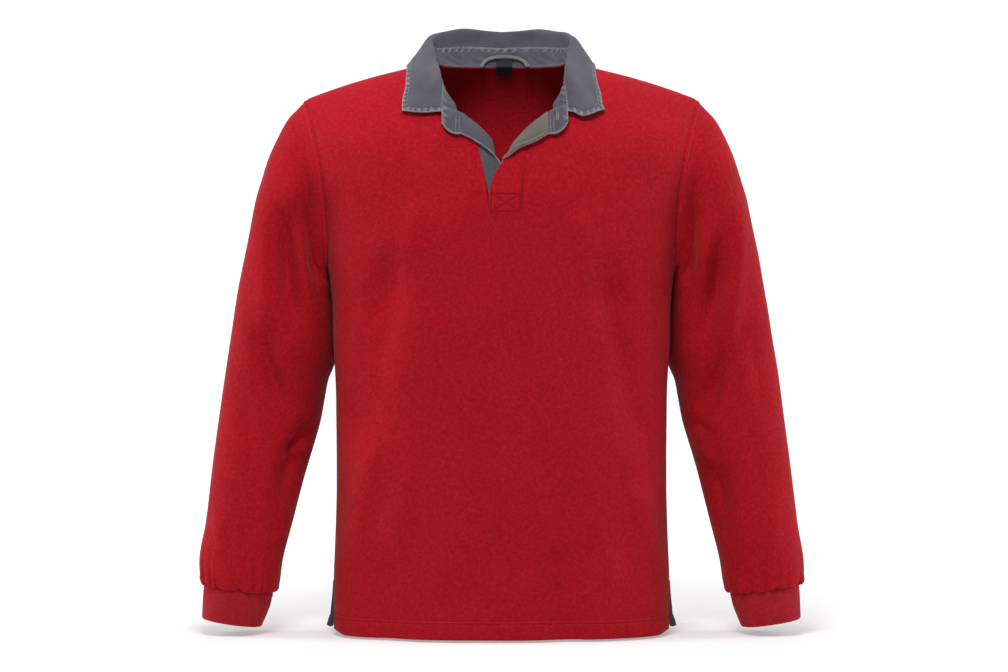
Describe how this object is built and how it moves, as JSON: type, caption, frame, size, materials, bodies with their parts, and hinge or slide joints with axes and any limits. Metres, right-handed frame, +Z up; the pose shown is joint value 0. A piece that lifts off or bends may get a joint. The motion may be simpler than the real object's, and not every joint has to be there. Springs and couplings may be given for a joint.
{
  "type": "collared henley sweatshirt",
  "caption": "Long-sleeved fleece pullover in its worn form, hollow, with a turned-down canvas collar, an open quarter placket, plain cuffs and side vents at a straight hem.",
  "frame": {"origin": "middle of the neck's base, level with the inner ends of the shoulder seams, where a hanger or a neck holds it", "axes": "metres; +Z up out of the neck; the chest faces -Y; +X is the viewer's right, the wearer's left"},
  "size_m": [0.7736, 0.2533, 0.7811],
  "materials": {
    "red_fleece": "brushed, lightly pilled",
    "grey_canvas": "washed, pale along its edges",
    "facing": "washed twill",
    "label": "dark woven",
    "tape": "dark ribbed tape",
    "button": "satin"
  },
  "bodies": {
    "root": {"front_panel": "red_fleece", "back_panel": "red_fleece", "sleeve_left": "red_fleece", "sleeve_right": "red_fleece", "cuff_left": "red_fleece", "cuff_right": "red_fleece", "placket_upper": "red_fleece", "placket_under": "grey_canvas", "placket_facing": "facing", "collar_stand": "grey_canvas", "collar_fall": "grey_canvas", "neck_label": "label", "hanger_loop": "tape", "vent_tape_left": "tape", "vent_tape_right": "tape", "neck_button": "button"}
  },
  "joints": []
}
